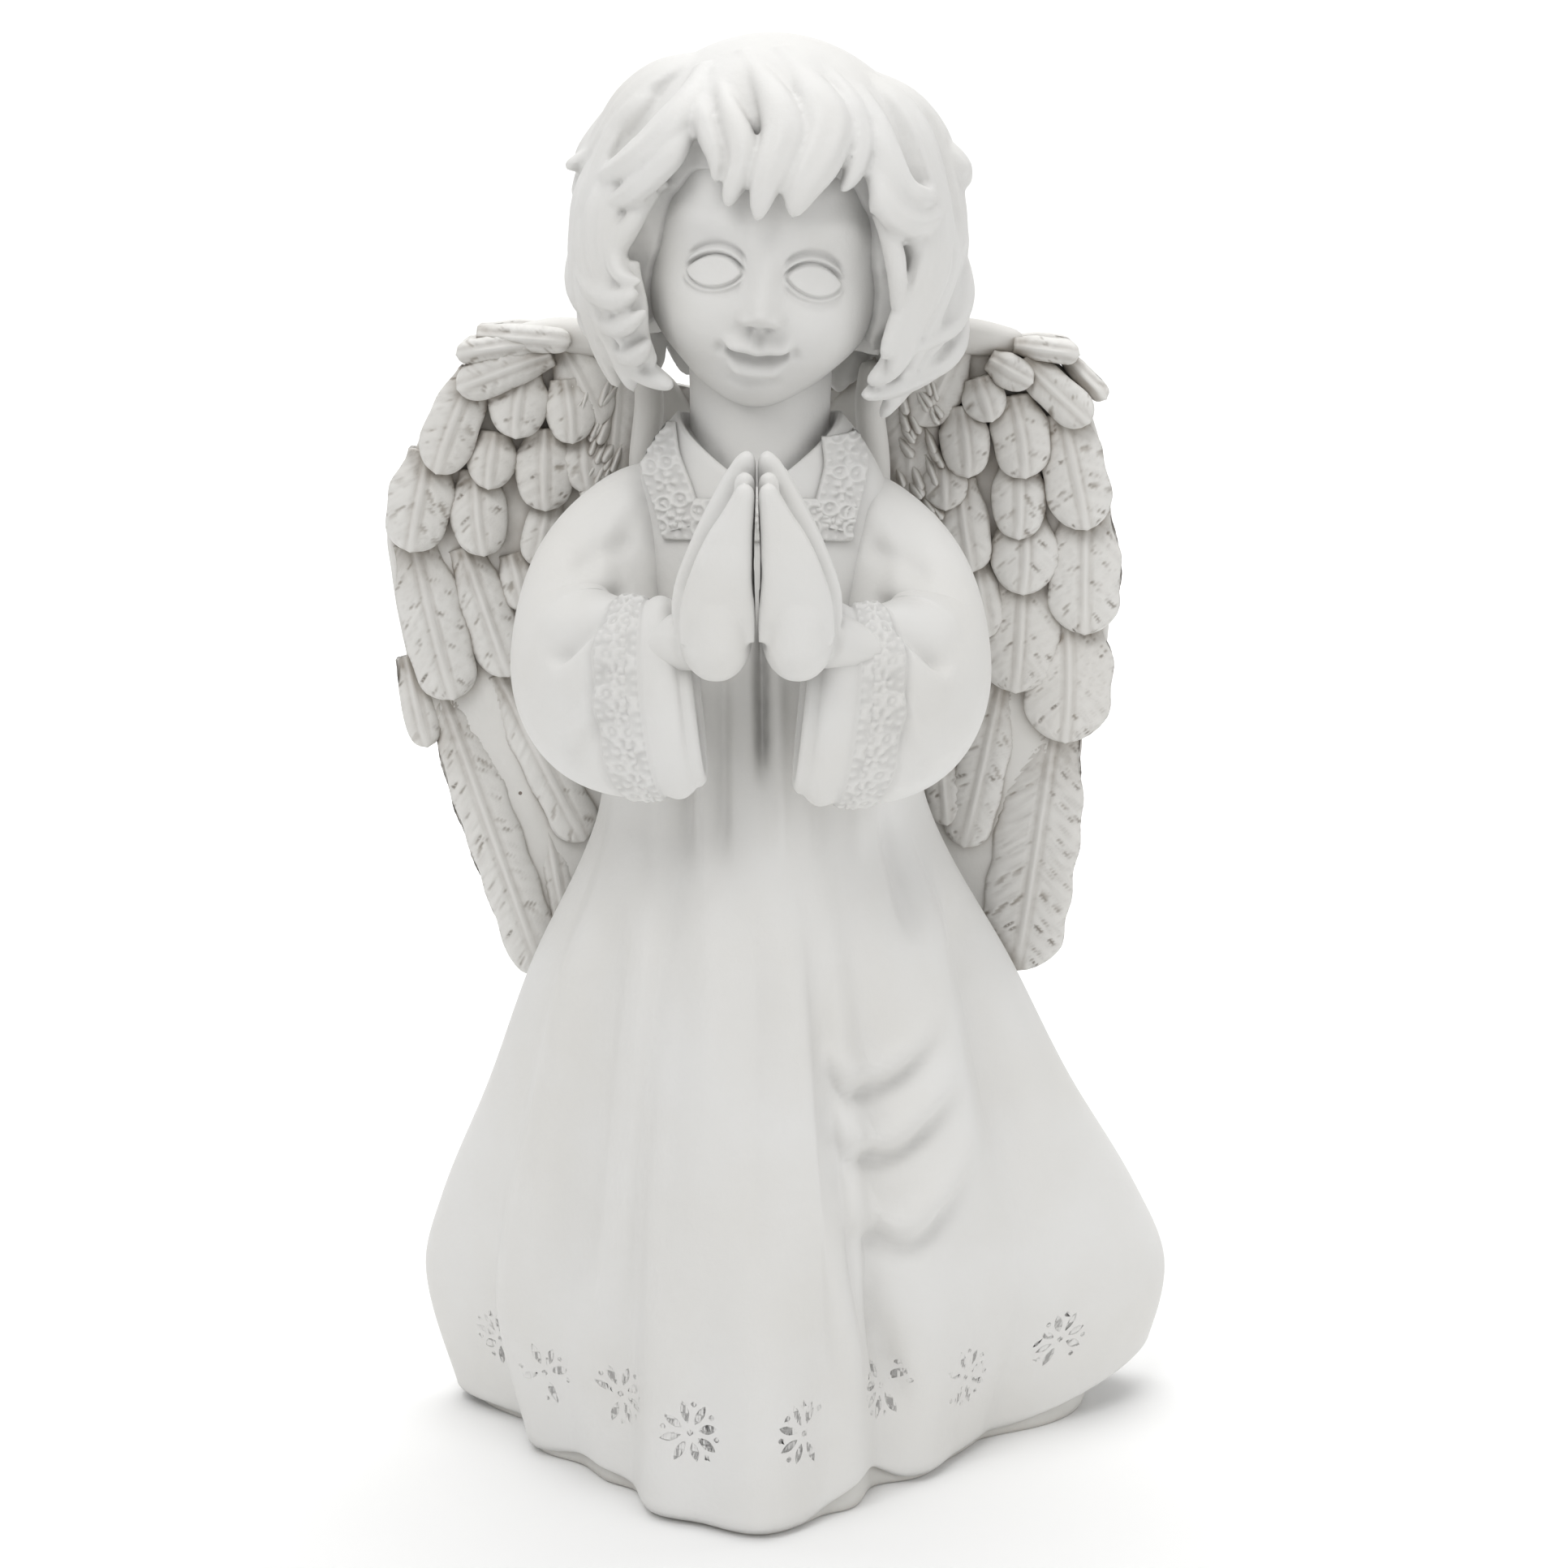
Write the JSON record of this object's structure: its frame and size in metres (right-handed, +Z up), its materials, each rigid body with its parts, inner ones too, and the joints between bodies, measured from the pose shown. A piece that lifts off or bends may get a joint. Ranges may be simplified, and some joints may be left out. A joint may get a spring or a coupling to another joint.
{
  "type": "resin angel figurine",
  "caption": "Praying child angel figurine in white cast resin, with spread feathered wings and a flared gown with a flower hem.",
  "frame": {"origin": "on the surface it stands on, under the centre of the figurine's bounding box", "axes": "+Z up; -Y is the way the figure faces; +X is towards the figure's own left"},
  "size_m": [0.1454, 0.104, 0.2501],
  "materials": {
    "white_resin": "matt off-white painted cast resin",
    "washed_resin": "matt off-white cast resin with a thin taupe wash in the recesses",
    "raw_resin": "matt grey-white cast resin",
    "steel": "plain steel rod"
  },
  "bodies": {
    "root": {"gown_shell": "white_resin", "base_plate": "raw_resin", "head": "white_resin", "hair_cap": "white_resin", "sleeve_right": "white_resin", "sleeve_left": "white_resin", "hand_right": "white_resin", "hand_left": "white_resin", "wing_right": "washed_resin", "wing_left": "washed_resin", "wing_pin_right": "steel", "wing_pin_left": "steel", "shoulder_pin_right": "steel", "shoulder_pin_left": "steel"}
  },
  "joints": []
}
